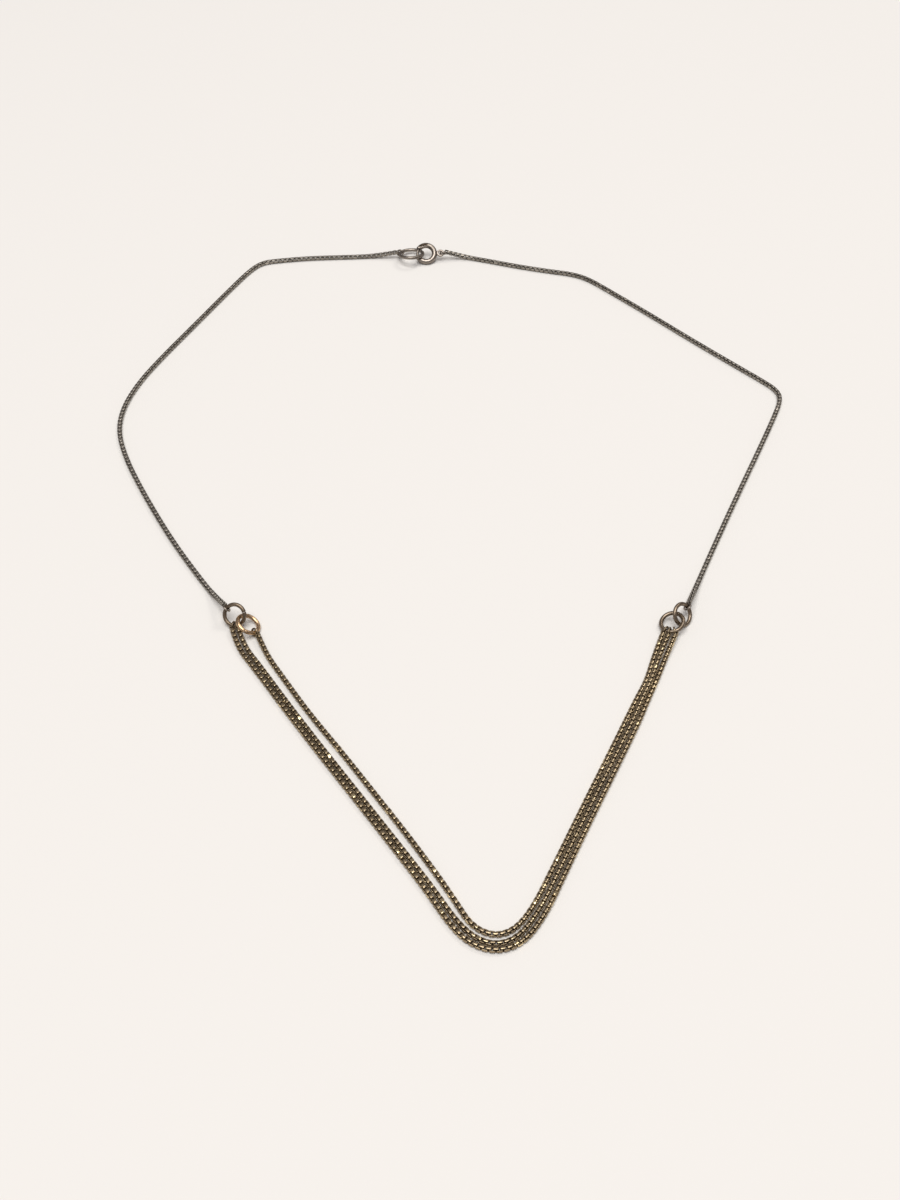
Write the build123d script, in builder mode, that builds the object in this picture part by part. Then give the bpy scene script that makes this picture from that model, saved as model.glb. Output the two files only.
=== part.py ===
"""Double chain necklace, lying open on a flat surface.

Units are millimetres, +Z is up and z = 0 is the surface. The origin is the middle of the necklace's
length and width, on that surface. +X is to the wearer's left, as the necklace lies face up, and -Y is
the front, where the three strands meet the bottom of the neckline.
"""
import os
from collections import namedtuple
from math import cos, pi, radians, sin, tan

from build123d import *

# Chains
strand_gauge = 0.95        # outer size of the three box chain strands
back_gauge = 0.90          # outer size of the slightly finer box chain at the back
eye_radius = 0.75          # centre line of the small eye soldered to each end of a chain
eye_wire = 0.40
arc_share = 0.45           # part of a run that the arc at its end takes

# Rings, each leaning so that its low side points along its heading
jump_wire = 0.80
strand_ring_wire = 0.85
end_ring_wire = 0.84
Ring = namedtuple("Ring", "centre tilt heading radius wire")
left_jump = Ring((-42.90, -25.07, 2.58), 51, 250, 2.10, jump_wire)
left_strand = Ring((-40.19, -26.57, 1.57), 28, 6, 2.20, strand_ring_wire)
right_jump = Ring((45.28, -24.50, 2.13), 51, 320, 2.10, jump_wire)
right_strand = Ring((43.19, -26.05, 1.53), 17, 204, 2.20, strand_ring_wire)
clasp_end = Ring((-10.08, 96.42, 1.83), 15.5, 95, 2.85, end_ring_wire)

# Clasp: a hollow ring with a gap that a sliding bolt closes
clasp_tube = 1.30
clasp_bore = 0.86
clasp = Ring((-6.45, 96.55, 1.83), 33.5, 273, 2.10, clasp_tube)
gap_start = 240            # angles round the clasp, from its low side
gap_angle = 55
bolt_wire = 0.62
bolt_tail = 22             # how far the bolt reaches into the tube behind the gap
bolt_tip = 9               # and past the gap
bolt_travel = 58
knob_diameter = 0.50
knob_height = 1.10         # from the middle of the bolt to the knob's top
knob_rounding = 0.12
knob_angle = gap_start - 6
slot_clearance = 0.08
loop_radius = 0.68         # centre line of the loop soldered to the clasp for the right chain
loop_wire = 0.50
loop_stand_off = 0.10      # from the tube's surface to the middle of the loop's wire
loop_angle = 90

# Where each chain's end sits round its ring, as an angle from the ring's low side
back_left_on_end_ring = 70
back_left_on_jump_ring = 245
back_right_on_jump_ring = 102
outer_on_left_jump_ring = 6
middle_on_left_jump_ring = 33
inner_on_left_strand_ring = 308
inner_on_right_strand_ring = 25
middle_on_right_strand_ring = 47
outer_on_right_strand_ring = 74

# Routes, chosen by hand, between the two eyes of each chain: x and y of places on the surface,
# with a third number for how far a strand that lies on its neighbours is lifted
routes = {
    "back_chain_left": [
        (-18.5, 97.4), (-26.0, 96.9), (-35.0, 96.5), (-42.0, 95.5), (-46.7, 94.6), (-49.5, 91.4),
        (-53.3, 84.5), (-60.4, 70.7), (-67.6, 56.8), (-71.5, 48.2), (-73.8, 39.6), (-73.8, 32.0),
        (-71.3, 23.8), (-66.4, 13.2), (-58.6, -1.4), (-51.8, -12.2), (-47.9, -17.9)],
    "back_chain_right": [
        (2.5, 97.1), (8.0, 95.6), (16.5, 92.9), (24.0, 91.0), (29.8, 89.7), (33.4, 87.6), (37.8, 83.2),
        (46.0, 74.8), (56.0, 64.1), (64.3, 55.5), (70.5, 49.3), (73.6, 45.7), (73.9, 42.4), (71.6, 36.4),
        (66.6, 24.9), (60.0, 10.1), (53.4, -5.2), (49.1, -15.4)],
    "strand_inner": [
        (-36.4, -33.2), (-33.4, -38.1), (-27.2, -48.1), (-20.5, -57.5), (-14.3, -66.7), (-8.3, -75.6),
        (-2.9, -84.1), (0.3, -89.5), (2.7, -93.9), (5.3, -95.9), (8.2, -96.3), (11.15, -94.55),
        (14.05, -90.2), (17.3, -83.15), (21.95, -72.9), (28.05, -59.7), (32.35, -50.3), (34.75, -45.0),
        (37.2, -40.1), (39.1, -33.9)],
    "strand_middle": [
        (-40.7, -31.5), (-37.2, -36.5), (-31.0, -46.3), (-24.6, -55.9), (-18.4, -65.0), (-12.4, -73.8),
        (-6.8, -82.1), (-3.2, -87.5), (0.4, -93.5), (3.6, -96.9), (7.2, -98.25), (11.1, -96.75),
        (14.85, -91.3), (18.35, -83.5), (23.25, -72.6), (29.55, -59.1), (33.85, -49.7),
        (35.85, -45.0, 0.45), (38.05, -40.2, 0.72), (40.0, -34.2, 0.62)],
    "strand_outer": [
        (-42.0, -31.6), (-38.2, -37.1), (-31.9, -46.9), (-25.5, -56.5), (-19.3, -65.6), (-13.3, -74.4),
        (-7.7, -82.7), (-4.2, -88.1), (-0.6, -94.2), (2.8, -97.95), (7.3, -99.55), (12.0, -97.65),
        (15.85, -91.95), (19.35, -84.0), (24.25, -73.1), (30.55, -59.6), (34.85, -50.2), (36.75, -45.4),
        (39.0, -40.1), (41.2, -34.4)],
}


def ring_plane(ring):
    """Plane of a ring, with x down to its low side and z along its axis, upward."""
    lean = radians(ring.tilt)
    turn = radians(ring.heading)
    low_side = (cos(turn) * cos(lean), sin(turn) * cos(lean), -sin(lean))
    axis = (cos(turn) * sin(lean), sin(turn) * sin(lean), cos(lean))
    return Plane(origin=ring.centre, x_dir=low_side, z_dir=axis)


def point_on(ring, angle, radius):
    """Point of a ring's plane at an angle from its low side."""
    turn = radians(angle)
    return ring_plane(ring).from_local_coords((radius * cos(turn), radius * sin(turn), 0))


def eye_plane(ring, angle):
    """Plane of an eye threaded on a ring, with x level and away from the ring's middle."""
    on_wire = Vector(point_on(ring, angle, ring.radius))
    outward = on_wire - Vector(ring.centre)
    along_wire = ring_plane(ring).z_dir.cross(outward).normalized()
    away = along_wire.cross(Vector(0, 0, 1)).normalized()
    if away.dot(outward) < 0:
        away = -away
    return Plane(origin=on_wire, x_dir=away, z_dir=along_wire)


def eye_joint(eye):
    """Point of an eye where its chain is soldered on."""
    return eye.from_local_coords((eye_radius, 0, 0))


def corner_radii(name, points):
    """Radius of the arc at each corner of a route, as large as its two runs allow."""
    radii = []
    for before, corner, after in zip(points, points[1:], points[2:]):
        first = corner - before
        second = after - corner
        turn = first.get_angle(second)
        shorter = min(first.length, second.length)
        radii.append(arc_share * shorter / tan(radians(turn) / 2))
    print(name, "radii", [round(radius, 1) for radius in radii])
    return radii


def save(piece, name):
    """Label a finished piece and write it as its own file."""
    piece.part.label = name
    export_step(piece.part, f"parts/{name}.step")


def make_chain(name, gauge, first_eye, last_eye):
    """Chain that rests on the surface between two eyes, as a tube of its gauge."""
    points = [eye_joint(first_eye)]
    for x, y, *lift in routes[name]:
        points.append(Vector(x, y, gauge / 2 + sum(lift)))
    points.append(eye_joint(last_eye))
    with BuildPart() as chain:
        with BuildLine() as path:
            FilletPolyline(*points, radius=corner_radii(name, points))
        with BuildSketch(Plane(origin=path.line @ 0, z_dir=path.line % 0)):
            Circle(gauge / 2)
        sweep(path=path.line)
        tube_volume = chain.part.volume
        for eye in (first_eye, last_eye):
            with Locations(eye):
                Torus(eye_radius, eye_wire / 2)
    length = sum(edge.length for edge in path.line.edges())
    print(name, "length", round(length, 1), "volume over section times length",
          round(tube_volume / (pi * gauge ** 2 / 4 * length), 5))
    save(chain, name)


def make_ring(name, ring):
    """Closed round ring of wire."""
    with BuildPart() as piece:
        with Locations(ring_plane(ring)):
            Torus(ring.radius, ring.wire / 2)
    save(piece, name)


def clasp_section(angle):
    """Plane through the clasp's axis, with x outward at the angle and y along the axis."""
    axis = ring_plane(clasp).z_dir
    outward = (Vector(point_on(clasp, angle, 1)) - Vector(clasp.centre)).normalized()
    return Plane(origin=clasp.centre, x_dir=outward, z_dir=outward.cross(axis))


os.makedirs("parts", exist_ok=True)

clasp_axis = Axis(clasp.centre, ring_plane(clasp).z_dir)
gap_end = gap_start + gap_angle
slot_angle = gap_start - knob_angle + bolt_travel
slot_angle += (knob_diameter / 2 + slot_clearance) / radians(clasp.radius)
loop_centre = point_on(clasp, loop_angle, clasp.radius + clasp_tube / 2 + loop_stand_off + loop_radius)
clasp_loop = Ring(tuple(loop_centre), clasp.tilt, clasp.heading, loop_radius, loop_wire)

# Back chain, in its two halves
make_chain("back_chain_left", back_gauge, eye_plane(clasp_end, back_left_on_end_ring),
           eye_plane(left_jump, back_left_on_jump_ring))
make_chain("back_chain_right", back_gauge, eye_plane(clasp_loop, loop_angle),
           eye_plane(right_jump, back_right_on_jump_ring))

# Three strands of the front
make_chain("strand_inner", strand_gauge, eye_plane(left_strand, inner_on_left_strand_ring),
           eye_plane(right_strand, inner_on_right_strand_ring))
make_chain("strand_middle", strand_gauge, eye_plane(left_jump, middle_on_left_jump_ring),
           eye_plane(right_strand, middle_on_right_strand_ring))
make_chain("strand_outer", strand_gauge, eye_plane(left_jump, outer_on_left_jump_ring),
           eye_plane(right_strand, outer_on_right_strand_ring))

# Rings between the chains
make_ring("left_jump_ring", left_jump)
make_ring("left_strand_ring", left_strand)
make_ring("right_jump_ring", right_jump)
make_ring("right_strand_ring", right_strand)
make_ring("clasp_end_ring", clasp_end)

# Hollow clasp ring with its gap, the knob's slot and the soldered loop
with BuildPart() as clasp_ring:
    with BuildSketch(clasp_section(gap_end)):
        with Locations((clasp.radius, 0)):
            Circle(clasp_tube / 2)
            Circle(clasp_bore / 2, mode=Mode.SUBTRACT)
    revolve(axis=clasp_axis, revolution_arc=360 - gap_angle)
    with Locations(ring_plane(clasp_loop)):
        Torus(loop_radius, loop_wire / 2)
    with BuildSketch(clasp_section(gap_start - slot_angle)):
        with Locations((clasp.radius, clasp_tube / 2)):
            Rectangle(knob_diameter + 2 * slot_clearance, clasp_tube)
    revolve(axis=clasp_axis, revolution_arc=slot_angle, mode=Mode.SUBTRACT)
save(clasp_ring, "clasp_ring")

# Bolt that slides inside the clasp ring, moved by its knob
with BuildPart() as clasp_bolt:
    with BuildSketch(clasp_section(gap_start - bolt_tail)):
        with Locations((clasp.radius, 0)):
            Circle(bolt_wire / 2)
    revolve(axis=clasp_axis, revolution_arc=bolt_tail + gap_angle + bolt_tip)
    knob_foot = Plane(origin=point_on(clasp, knob_angle, clasp.radius), z_dir=ring_plane(clasp).z_dir)
    with BuildSketch(knob_foot):
        Circle(knob_diameter / 2)
    extrude(amount=knob_height)
    knob_rim = clasp_bolt.edges().filter_by(GeomType.CIRCLE).sort_by(clasp_axis)[-1]
    fillet(knob_rim, knob_rounding)
save(clasp_bolt, "clasp_bolt")
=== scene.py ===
import random
from collections import namedtuple
from math import atan2, cos, exp, pi, radians, sin

import bpy
import numpy as np
from mathutils import Matrix, Vector


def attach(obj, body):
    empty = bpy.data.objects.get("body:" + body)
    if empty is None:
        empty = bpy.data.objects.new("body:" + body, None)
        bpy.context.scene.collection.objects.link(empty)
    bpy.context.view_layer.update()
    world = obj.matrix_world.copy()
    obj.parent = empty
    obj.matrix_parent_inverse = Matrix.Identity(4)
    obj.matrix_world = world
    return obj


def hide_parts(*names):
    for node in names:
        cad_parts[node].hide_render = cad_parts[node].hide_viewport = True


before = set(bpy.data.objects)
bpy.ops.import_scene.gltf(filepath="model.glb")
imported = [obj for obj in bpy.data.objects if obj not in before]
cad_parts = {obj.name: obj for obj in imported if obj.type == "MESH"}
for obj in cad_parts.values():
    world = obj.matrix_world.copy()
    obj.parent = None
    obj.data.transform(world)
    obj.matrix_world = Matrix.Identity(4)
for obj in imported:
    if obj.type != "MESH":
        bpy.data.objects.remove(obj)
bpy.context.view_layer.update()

rng = random.Random(7)
UP = Vector((0, 0, 1))

# Rings, in metres and degrees: each one's plane slopes down by its tilt towards its heading
Ring = namedtuple("Ring", "centre tilt heading radius wire")
LEFT_JUMP = Ring((-0.04290, -0.02507, 0.00258), 51, 250, 0.0021, 0.0008)
LEFT_STRAND = Ring((-0.04019, -0.02657, 0.00157), 28, 6, 0.0022, 0.00085)
RIGHT_JUMP = Ring((0.04528, -0.02450, 0.00213), 51, 320, 0.0021, 0.0008)
RIGHT_STRAND = Ring((0.04319, -0.02605, 0.00153), 17, 204, 0.0022, 0.00085)
CLASP_END = Ring((-0.01008, 0.09642, 0.00183), 15.5, 95, 0.00285, 0.00084)
CLASP = Ring((-0.00645, 0.09655, 0.00183), 33.5, 273, 0.0021, 0.0013)
SEAM_GAP = 0.00004         # between the closed ends of a ring's wire
CUT_EASE = 0.93            # thickness of the wire at its cut ends, as a share of the rest

# The loop soldered to the clasp, its wire sunk a little into the clasp's
LOOP_ANGLE = 90
LOOP_RADIUS = 0.00068
LOOP_WIRE = 0.0005
LOOP_REACH = CLASP.radius + CLASP.wire / 2 + 0.0001 + LOOP_RADIUS

# The eye soldered to each end of a chain, with a bead of solder where its wire meets
EYE_RADIUS = 0.00075
EYE_WIRE = 0.00040
EYE_SEAM = 35              # degrees from the side where the chain is threaded
BEAD_RISE = 0.22           # of the wire's thickness
BEAD_REACH = 0.2           # radians along the wire

# Proportions of a box link, as shares of its size
STRIP = 0.158              # thickness of its flat strip
WIDTH = 0.53               # width of its strip
CORNER = 0.17              # outside radius of its corners
EDGE = 0.035               # bevel along the strip's edges
CROWN = 0.012              # rise of the strip's middle
CORNER_POINTS = 4
SHARP_EDGE = radians(50)   # a steeper edge is shaded sharp

# How the links lie
END_SLACK = 0.00001        # by which an end link clears its eye's wire
TWIST_LENGTH = 0.009       # from an end, over which a chain turns from its eye's way to lying flat
ROLL = radians(3)          # by which a chain rolls to and fro in a long and a shorter wave
LONG_WAVE, SHORT_WAVE = 0.011, 0.0047    # metres to a radian of each wave
SHORT_SHARE = 0.6
HEAD_REACH = 0.3           # of a link's size, to each side of it, over which its heading is taken
TILT_LIFT = 0.27           # of a link's size, just over half its width

# Dull links have a mean shade and a spread, bright ones a range of shades, and both sit askew by
# some radians
DULL_SHADE, DULL_PLAY = (0.42, 0.16), 0.012
BRIGHT_SHADE, BRIGHT_PLAY = (0.85, 1.15), 0.11

# The metal's unevenness, in cycles a metre
PATCHES, DENTS, GRAIN = 420, 2600, 5200
DENT_STRENGTH, DENT_DEPTH = 0.12, 0.00004

FLOOR_REACH = 1.5

# Each chain's smooth line between its two eyes: x and y of places on the surface, with a third
# number for how far a strand that lies on its neighbours is lifted
ROUTES = {
    "back_chain_left": [
        (-0.0185, 0.0974), (-0.0260, 0.0969), (-0.0350, 0.0965), (-0.0420, 0.0955),
        (-0.0467, 0.0946), (-0.0495, 0.0914), (-0.0533, 0.0845), (-0.0604, 0.0707),
        (-0.0676, 0.0568), (-0.0715, 0.0482), (-0.0738, 0.0396), (-0.0738, 0.0320),
        (-0.0713, 0.0238), (-0.0664, 0.0132), (-0.0586, -0.0014), (-0.0518, -0.0122),
        (-0.0479, -0.0179)],
    "back_chain_right": [
        (0.0025, 0.0971), (0.0080, 0.0956), (0.0165, 0.0929), (0.0240, 0.0910),
        (0.0298, 0.0897), (0.0334, 0.0876), (0.0378, 0.0832), (0.0460, 0.0748),
        (0.0560, 0.0641), (0.0643, 0.0555), (0.0705, 0.0493), (0.0736, 0.0457),
        (0.0739, 0.0424), (0.0716, 0.0364), (0.0666, 0.0249), (0.0600, 0.0101),
        (0.0534, -0.0052), (0.0491, -0.0154)],
    "strand_inner": [
        (-0.0364, -0.0332), (-0.0334, -0.0381), (-0.0272, -0.0481), (-0.0205, -0.0575),
        (-0.0143, -0.0667), (-0.0083, -0.0756), (-0.0029, -0.0841), (0.0003, -0.0895),
        (0.0027, -0.0939), (0.0053, -0.0959), (0.0082, -0.0963), (0.01115, -0.09455),
        (0.01405, -0.0902), (0.0173, -0.08315), (0.02195, -0.0729), (0.02805, -0.0597),
        (0.03235, -0.0503), (0.03475, -0.0450), (0.0372, -0.0401), (0.0391, -0.0339)],
    "strand_middle": [
        (-0.0407, -0.0315), (-0.0372, -0.0365), (-0.0310, -0.0463), (-0.0246, -0.0559),
        (-0.0184, -0.0650), (-0.0124, -0.0738), (-0.0068, -0.0821), (-0.0032, -0.0875),
        (0.0004, -0.0935), (0.0036, -0.0969), (0.0072, -0.09825), (0.0111, -0.09675),
        (0.01485, -0.0913), (0.01835, -0.0835), (0.02325, -0.0726), (0.02955, -0.0591),
        (0.03385, -0.0497), (0.03585, -0.0450, 0.00045), (0.03805, -0.0402, 0.00072),
        (0.0400, -0.0342, 0.00062)],
    "strand_outer": [
        (-0.0420, -0.0316), (-0.0382, -0.0371), (-0.0319, -0.0469), (-0.0255, -0.0565),
        (-0.0193, -0.0656), (-0.0133, -0.0744), (-0.0077, -0.0827), (-0.0042, -0.0881),
        (-0.0006, -0.0942), (0.0028, -0.09795), (0.0073, -0.09955), (0.0120, -0.09765),
        (0.01585, -0.09195), (0.01935, -0.0840), (0.02425, -0.0731), (0.03055, -0.0596),
        (0.03485, -0.0502), (0.03675, -0.0454), (0.0390, -0.0401), (0.0412, -0.0344)],
}


def ring_matrix(ring):
    """Frame of a ring: x down to its low side, z along its axis."""
    lean, turn = radians(ring.tilt), radians(ring.heading)
    x = Vector((cos(turn) * cos(lean), sin(turn) * cos(lean), -sin(lean)))
    z = Vector((cos(turn) * sin(lean), sin(turn) * sin(lean), cos(lean)))
    y = z.cross(x)
    m = Matrix((x, y, z)).transposed().to_4x4()
    m.translation = ring.centre
    return m


def point_on(ring, angle, radius):
    """Point of a ring's plane at an angle from its low side."""
    turn = radians(angle)
    return ring_matrix(ring) @ Vector((radius * cos(turn), radius * sin(turn), 0))


def eye_matrix(ring, angle):
    """Frame of an eye on a ring's wire: x level and outwards from the ring, z along its wire."""
    on_wire = point_on(ring, angle, ring.radius)
    outward = on_wire - Vector(ring.centre)
    z = ring_matrix(ring).col[2].to_3d().cross(outward).normalized()
    x = z.cross(UP).normalized()
    if x.dot(outward) < 0:
        x = -x
    m = Matrix((x, z.cross(x), z)).transposed().to_4x4()
    m.translation = on_wire
    return m


def node(tree, kind, **values):
    """New shader node with its settings."""
    made = tree.nodes.new(kind)
    for key, value in values.items():
        setattr(made, key, value)
    return made


def ramp(tree, stops, factor):
    """Colour that follows a factor through a list of positions and colours."""
    made = node(tree, "ShaderNodeValToRGB")
    ends = made.color_ramp.elements
    for end, (position, colour) in zip((ends[0], ends[1]), (stops[0], stops[-1])):
        end.position = position
        end.color = (*colour, 1)
    for position, colour in stops[1:-1]:
        ends.new(position).color = (*colour, 1)
    tree.links.new(factor, made.inputs["Fac"])
    return made.outputs["Color"]


def times_plus(tree, source, share, rest):
    """Source times share, plus the rest, which is a number or a socket."""
    made = node(tree, "ShaderNodeMath", operation="MULTIPLY_ADD")
    tree.links.new(source, made.inputs[0])
    made.inputs[1].default_value = share
    if isinstance(rest, float):
        made.inputs[2].default_value = rest
    else:
        tree.links.new(rest, made.inputs[2])
    return made.outputs[0]


def noise(tree, coordinates, scale, detail, rough=0.5):
    """Noise of a scale, in cycles a metre."""
    made = node(tree, "ShaderNodeTexNoise")
    made.inputs["Scale"].default_value = scale
    made.inputs["Detail"].default_value = detail
    made.inputs["Roughness"].default_value = rough
    tree.links.new(coordinates, made.inputs["Vector"])
    return made.outputs["Fac"]


def metal(name, stops, linked=False, rough=(0.22, 0.5)):
    """Worn metal: its colour and shine run with a level, from dark and rough to bright and smooth,
    set by patches and grain.
    A linked chain adds painted shade inside its links and at their hole edges, lighter rubbed outer
    faces, and a tone for each link."""
    material = bpy.data.materials.new(name)
    material.use_nodes = True
    tree = material.node_tree
    shader = tree.nodes["Principled BSDF"]
    shader.inputs["Metallic"].default_value = 1.0
    place = node(tree, "ShaderNodeTexCoord").outputs["Object"]
    patches = noise(tree, place, PATCHES, 4, 0.6)
    if linked:
        wear, tone = (node(tree, "ShaderNodeAttribute", attribute_name=key).outputs["Fac"]
                      for key in ("wear", "tone"))
        # Painted shade darkens the links' insides and hole edges, where shade falls; rubbed outer
        # faces are lighter
        base, sources = -0.20, ((wear, 0.62), (tone, 0.42), (patches, 0.30))
    else:
        base, sources = -0.05, ((patches, 1.1),)
    level = times_plus(tree, noise(tree, place, GRAIN, 2), 0.10, base)
    for source, share in sources:
        level = times_plus(tree, source, share, level)
    tree.links.new(ramp(tree, stops, level), shader.inputs["Base Color"])
    shine = node(tree, "ShaderNodeMapRange")
    shine.inputs["From Min"].default_value = 0.2
    shine.inputs["From Max"].default_value = 0.9
    shine.inputs["To Min"].default_value = rough[1]
    shine.inputs["To Max"].default_value = rough[0]
    tree.links.new(level, shine.inputs["Value"])
    tree.links.new(shine.outputs["Result"], shader.inputs["Roughness"])
    dents = node(tree, "ShaderNodeBump")
    dents.inputs["Strength"].default_value = DENT_STRENGTH
    dents.inputs["Distance"].default_value = DENT_DEPTH
    tree.links.new(noise(tree, place, DENTS, 3), dents.inputs["Height"])
    tree.links.new(dents.outputs["Normal"], shader.inputs["Normal"])
    return material


GILT = metal("tarnished_gilt", [
    (0.0, (0.068, 0.049, 0.033)), (0.3, (0.152, 0.113, 0.073)), (0.55, (0.258, 0.198, 0.124)),
    (0.8, (0.38, 0.297, 0.184)), (1.0, (0.90, 0.73, 0.43))], linked=True, rough=(0.18, 0.5))
GREY = metal("dull_grey_silver", [
    (0.0, (0.06, 0.054, 0.046)), (0.3, (0.135, 0.122, 0.105)), (0.6, (0.24, 0.217, 0.185)),
    (1.0, (0.43, 0.39, 0.335))], linked=True, rough=(0.35, 0.55))
SILVER = metal("worn_silver", [
    (0.2, (0.07, 0.06, 0.05)), (0.45, (0.20, 0.172, 0.145)), (0.8, (0.42, 0.365, 0.315))])
BROWNED = metal("browned_silver", [
    (0.2, (0.06, 0.044, 0.031)), (0.45, (0.165, 0.126, 0.09)), (0.8, (0.36, 0.285, 0.21))])
GOLD = metal("coppery_gilt", [
    (0.2, (0.16, 0.09, 0.05)), (0.45, (0.40, 0.26, 0.15)), (0.8, (0.68, 0.49, 0.30))],
    rough=(0.16, 0.4))
GILT_WIRE = metal("gilt_wire", [
    (0.2, (0.07, 0.055, 0.038)), (0.45, (0.22, 0.172, 0.115)), (0.8, (0.45, 0.355, 0.23))])

# The two kinds of chain: the round gauge of the solid, the size and spacing of the square links,
# the share of links that are rubbed bright, the links' metal, the slot and the metal of the eyes
Kind = namedtuple("Kind", "gauge size pitch bright links slot eyes")
BACK = Kind(0.00090, 0.00090 * 1.12, 0.000575, 0.02, GREY, "grey_silver", SILVER)
STRAND = Kind(0.00095, 0.00095 * 1.07, 0.000605, 0.07, GILT, "gilt_silver", GILT_WIRE)


def piece(name, verts, faces, material, slot, replaces, **values):
    """One finished piece that rides on the necklace and stands for its node, with values that its
    material reads at each point."""
    mesh = bpy.data.meshes.new(name)
    mesh.from_pydata([tuple(v) for v in verts], [], [tuple(f) for f in faces])
    mesh.polygons.foreach_set("use_smooth", [True] * len(mesh.polygons))
    mesh.set_sharp_from_angle(angle=SHARP_EDGE)
    for key, numbers in values.items():
        attribute = mesh.attributes.new(key, "FLOAT", "POINT")
        attribute.data.foreach_set("value", np.asarray(numbers, np.float32))
    mesh.materials.append(material)
    made = bpy.data.objects.new(name, mesh)
    bpy.context.scene.collection.objects.link(made)
    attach(made, "necklace")
    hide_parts(*replaces)


def skin(count, section, closed=True):
    """Faces between the neighbouring sections of a loop, each of them a closed row of points."""
    faces = []
    for k in range(count if closed else count - 1):
        here, there = k * section, (k + 1) % count * section
        for j in range(section):
            after = (j + 1) % section
            faces.append((here + j, there + j, there + after, here + after))
    return faces


def ring_mesh(matrix, radius, wire, seam, gap=0.0, bead=0.0, around=72, section=20):
    """Ring of round wire whose ends meet at an angle, with a fine open seam or a bead of solder."""
    count = around + 1 if gap else around
    half = gap / 2 / radius
    verts = []
    for k in range(count):
        share = k / around
        turn = radians(seam) + (half + share * (2 * pi - 2 * half))
        from_seam = min(share, 1 - share) * 2 * pi
        thick = wire / 2 * (1 + bead * exp(-(from_seam / BEAD_REACH) ** 2))
        if gap and k in (0, count - 1):
            thick *= CUT_EASE
        for j in range(section):
            side = 2 * pi * j / section
            reach = radius + thick * cos(side)
            verts.append(matrix @ Vector((reach * cos(turn), reach * sin(turn), thick * sin(side))))
    faces = skin(count, section, closed=not gap)
    if gap:
        faces.append(tuple(range(section)))
        faces.append(tuple((count - 1) * section + j for j in reversed(range(section))))
    return verts, faces


def link_mesh(size):
    """One box link, a square loop of flat strip with its hole along y, and its painted shade and
    wear at each point.
    """
    half, strip, corner = size * WIDTH / 2, size * STRIP, size * CORNER
    edge, crown = size * EDGE, size * CROWN
    # Across the strip: its place along y, its depth below the outside and its painted shade and
    # wear:
    # # painted shade inside the link and at its hole's edges, where shade falls, lighter on the
    # rubbed outer face
    section = [(-half + edge, 0, 0.95), (0, -crown, 0.75), (half - edge, 0, 0.95),
               (half, edge, 0.7), (half, strip - edge, 0.3), (half - edge, strip, 0.08),
               (-half + edge, strip, 0.08), (-half, strip - edge, 0.3), (-half, edge, 0.7)]
    verts, wear = [], []
    inset = size / 2 - corner
    for quarter in range(4):
        middle_x = inset if quarter in (0, 3) else -inset
        middle_z = inset if quarter < 2 else -inset
        for step in range(CORNER_POINTS):
            turn = quarter * pi / 2 + step * pi / 2 / (CORNER_POINTS - 1)
            for y, depth, shade_and_wear_value in section:
                reach = corner - depth
                verts.append((middle_x + reach * cos(turn), y, middle_z + reach * sin(turn)))
                wear.append(shade_and_wear_value)
    # The section runs the other way round than a ring's, so each face is turned over
    faces = np.array(skin(4 * CORNER_POINTS, len(section)))[:, [0, 3, 2, 1]]
    return np.array(verts), faces, np.array(wear)


def smooth_line(name, points):
    """Points of the smooth spline that has a route's points as its control points."""
    curve = bpy.data.curves.new(name + "_line", "CURVE")
    curve.dimensions = "3D"
    spline = curve.splines.new("NURBS")
    spline.points.add(len(points) - 1)
    for place, point in zip(spline.points, points):
        place.co = (*point, 1)
    spline.order_u = 3
    spline.use_endpoint_u = True
    spline.resolution_u = 24
    holder = bpy.data.objects.new(name + "_line", curve)
    mesh = bpy.data.meshes.new_from_object(holder)
    line = np.array([v.co for v in mesh.vertices])
    bpy.data.objects.remove(holder)
    bpy.data.meshes.remove(mesh)
    return line


def sides(head):
    """The steepest and the level direction across a chain, for the way that it heads."""
    steep = (UP - head * UP.dot(head)).normalized()
    return steep, head.cross(steep)


def end_turn(eye, head):
    """Turn about the chain that sets the end link's hole along the eye's wire."""
    steep, level = sides(Vector(head))
    wire = eye.col[1].to_3d()
    turn = atan2(wire.dot(level), wire.dot(steep))
    return (turn + pi / 2) % pi - pi / 2


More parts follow.
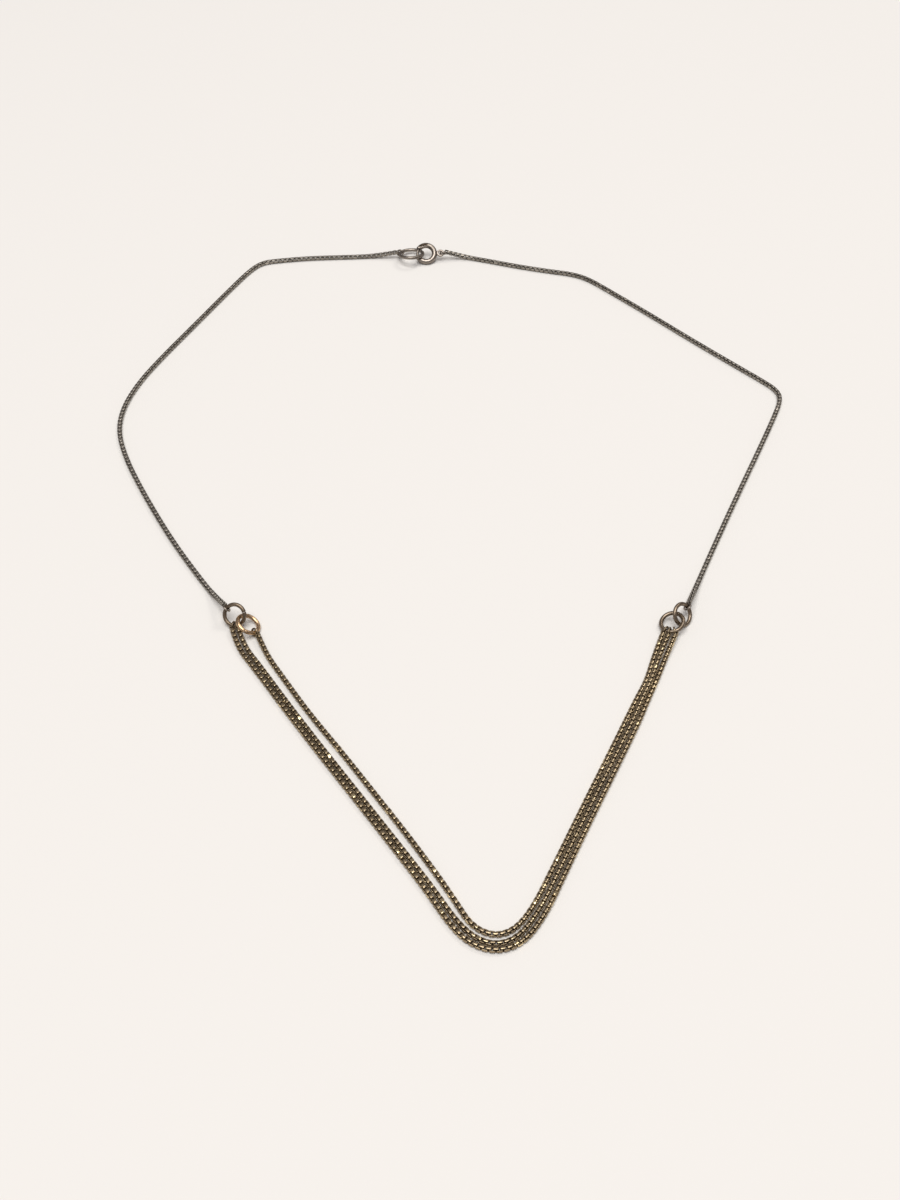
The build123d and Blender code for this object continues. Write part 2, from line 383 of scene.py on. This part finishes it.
def chain(name, kind, first_eye, last_eye):
    """Box links along a route, threaded on an eye at each end."""
    size = kind.size
    first, last = (tuple(eye @ Vector((EYE_RADIUS, 0, 0))) for eye in (first_eye, last_eye))
    places = [(x, y, kind.gauge / 2 + sum(lift)) for x, y, *lift in ROUTES[name]]
    line = smooth_line(name, [first, *places, last])
    run = np.concatenate([[0], np.cumsum(np.linalg.norm(np.diff(line, axis=0), axis=1))])

    # An odd number of links, so that both end links face their eyes alike
    start = size / 2 - size * STRIP - EYE_WIRE / 2 - END_SLACK
    usable = run[-1] - 2 * start
    count = int(usable / kind.pitch / 2) * 2 + 1
    along = start + usable / (count - 1) * np.arange(count)

    def at(distance):
        """Places on the line at distances along it."""
        return np.array([np.interp(distance, run, line[:, axis]) for axis in range(3)]).T

    centres = at(along)
    heads = at(along + size * HEAD_REACH) - at(along - size * HEAD_REACH)
    heads /= np.linalg.norm(heads, axis=1)[:, None]
    first_turn, last_turn = end_turn(first_eye, heads[0]), end_turn(last_eye, heads[-1])

    local, faces, wear = link_mesh(size)
    verts, tones = [], []
    phase = rng.uniform(0, 6)
    for k in range(count):
        head = Vector(heads[k])
        steep, level = sides(head)
        far = [min(1.0, d / TWIST_LENGTH) for d in (along[k], run[-1] - along[k])]
        near_first, near_last = (1 - f * f * (3 - 2 * f) for f in far)
        wave = sin(along[k] / LONG_WAVE + phase)
        wave += SHORT_SHARE * sin(along[k] / SHORT_WAVE + 2 * phase)
        turn = first_turn * near_first + last_turn * near_last
        turn += ROLL * (1 - near_first - near_last) * wave
        shade, play = rng.gauss(*DULL_SHADE), DULL_PLAY
        if rng.random() < kind.bright:
            shade, play = rng.uniform(*BRIGHT_SHADE), BRIGHT_PLAY
        turn += rng.gauss(0, play)
        tilt = rng.gauss(0, play)
        # A link that is turned or tilted stands on an edge, so it is lifted off the surface
        lift = (abs(cos(turn)) + abs(sin(turn))) * size / 2 - kind.gauge / 2
        lift += abs(tilt) * size * TILT_LIFT
        up = steep * cos(turn) + level * sin(turn)
        head = (head + up * tilt).normalized()
        up = (up - head * up.dot(head)).normalized()
        hole = up if k % 2 == 0 else head.cross(up)
        axes = np.array([head, hole, head.cross(hole)])
        verts.append(local @ axes + centres[k] + (0, 0, lift))
        tones.append(np.full(len(local), max(0.0, shade)))
    links = [faces + k * len(local) for k in range(count)]
    # Each point carries its painted shade, dark inside the link where shade falls, and its wear;
    # each link carries its tone
    piece(name + "_links", np.concatenate(verts), np.concatenate(links), kind.links, kind.slot,
          [name], wear=np.tile(wear, count), tone=np.concatenate(tones))
    for end, eye in (("first", first_eye), ("last", last_eye)):
        verts, faces = ring_mesh(eye, EYE_RADIUS, EYE_WIRE, EYE_SEAM, bead=BEAD_RISE,
                                 around=48, section=14)
        piece(f"{name}_{end}_eye", verts, faces, kind.eyes, kind.slot, [name])


CLASP_LOOP = Ring(tuple(point_on(CLASP, LOOP_ANGLE, LOOP_REACH)), CLASP.tilt, CLASP.heading,
                  LOOP_RADIUS, LOOP_WIRE)

# Each chain, with the rings that its two eyes hang on and the angles of the eyes on them
for name, kind, first_ring, first_angle, last_ring, last_angle in (
        ("back_chain_left", BACK, CLASP_END, 70, LEFT_JUMP, 245),
        ("back_chain_right", BACK, CLASP_LOOP, LOOP_ANGLE, RIGHT_JUMP, 102),
        ("strand_inner", STRAND, LEFT_STRAND, 308, RIGHT_STRAND, 25),
        ("strand_middle", STRAND, LEFT_JUMP, 33, RIGHT_STRAND, 47),
        ("strand_outer", STRAND, LEFT_JUMP, 6, RIGHT_STRAND, 74)):
    chain(name, kind, eye_matrix(first_ring, first_angle), eye_matrix(last_ring, last_angle))

# Rings of wire, each with the angle where its wire is cut and closed
for name, ring, seam, material, slot in (
        ("left_jump_ring", LEFT_JUMP, 120, BROWNED, "ring_silver"),
        ("left_strand_ring", LEFT_STRAND, 250, GOLD, "ring_gold"),
        ("right_jump_ring", RIGHT_JUMP, 300, BROWNED, "ring_silver"),
        ("right_strand_ring", RIGHT_STRAND, 200, BROWNED, "ring_silver"),
        ("clasp_end_ring", CLASP_END, 300, SILVER, "ring_silver")):
    verts, faces = ring_mesh(ring_matrix(ring), ring.radius, ring.wire, seam, gap=SEAM_GAP)
    piece(name + "_wire", verts, faces, material, slot, [name])

for name in ("clasp_ring", "clasp_bolt"):
    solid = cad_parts[name]
    solid.data.materials.clear()
    solid.data.materials.append(SILVER)

# The surface that the necklace lies on
floor_mesh = bpy.data.meshes.new("floor")
floor_corners = [(-FLOOR_REACH, -FLOOR_REACH, 0), (FLOOR_REACH, -FLOOR_REACH, 0),
                 (FLOOR_REACH, FLOOR_REACH, 0), (-FLOOR_REACH, FLOOR_REACH, 0)]
floor_mesh.from_pydata(floor_corners, [], [(0, 1, 2, 3)])
floor = bpy.data.objects.new("floor", floor_mesh)
bpy.context.scene.collection.objects.link(floor)
pale = bpy.data.materials.new("pale_floor")
pale.use_nodes = True
pale_inputs = pale.node_tree.nodes["Principled BSDF"].inputs
pale_inputs["Base Color"].default_value = (0.79, 0.766, 0.728, 1)
pale_inputs["Roughness"].default_value = 0.9
floor_mesh.materials.append(pale)

# Light
world = bpy.data.worlds.new("studio")
world.use_nodes = True
world_inputs = world.node_tree.nodes["Background"].inputs
world_inputs["Color"].default_value = (0.86, 0.82, 0.86, 1)
world_inputs["Strength"].default_value = 0.32
bpy.context.scene.world = world
bpy.context.scene.view_settings.view_transform = "Standard"


def area_light(name, place, size, power, colour):
    """Square lamp that faces the middle of the necklace, its power in watts."""
    data = bpy.data.lights.new(name, "AREA")
    data.size, data.energy, data.color = size, power, colour
    lamp = bpy.data.objects.new(name, data)
    lamp.location = place
    lamp.rotation_euler = (-Vector(place)).to_track_quat("-Z", "Y").to_euler()
    bpy.context.scene.collection.objects.link(lamp)


area_light("softbox", (-0.12, -0.35, 2.0), 1.55, 38.5, (1, 0.99, 0.98))
area_light("window", (0.65, 0.72, 1.25), 0.42, 3.9, (1, 0.97, 0.91))

# Camera, in front of the necklace and looking down at it
camera_data = bpy.data.cameras.new("camera")
camera_data.lens = 50
camera_data.sensor_width = 36
camera_data.clip_start = 0.005
camera = bpy.data.objects.new("camera", camera_data)
camera.location = (-0.00053, -0.24641, 0.24428)
camera.rotation_euler = (radians(43), 0, 0)
bpy.context.scene.collection.objects.link(camera)
bpy.context.scene.camera = camera
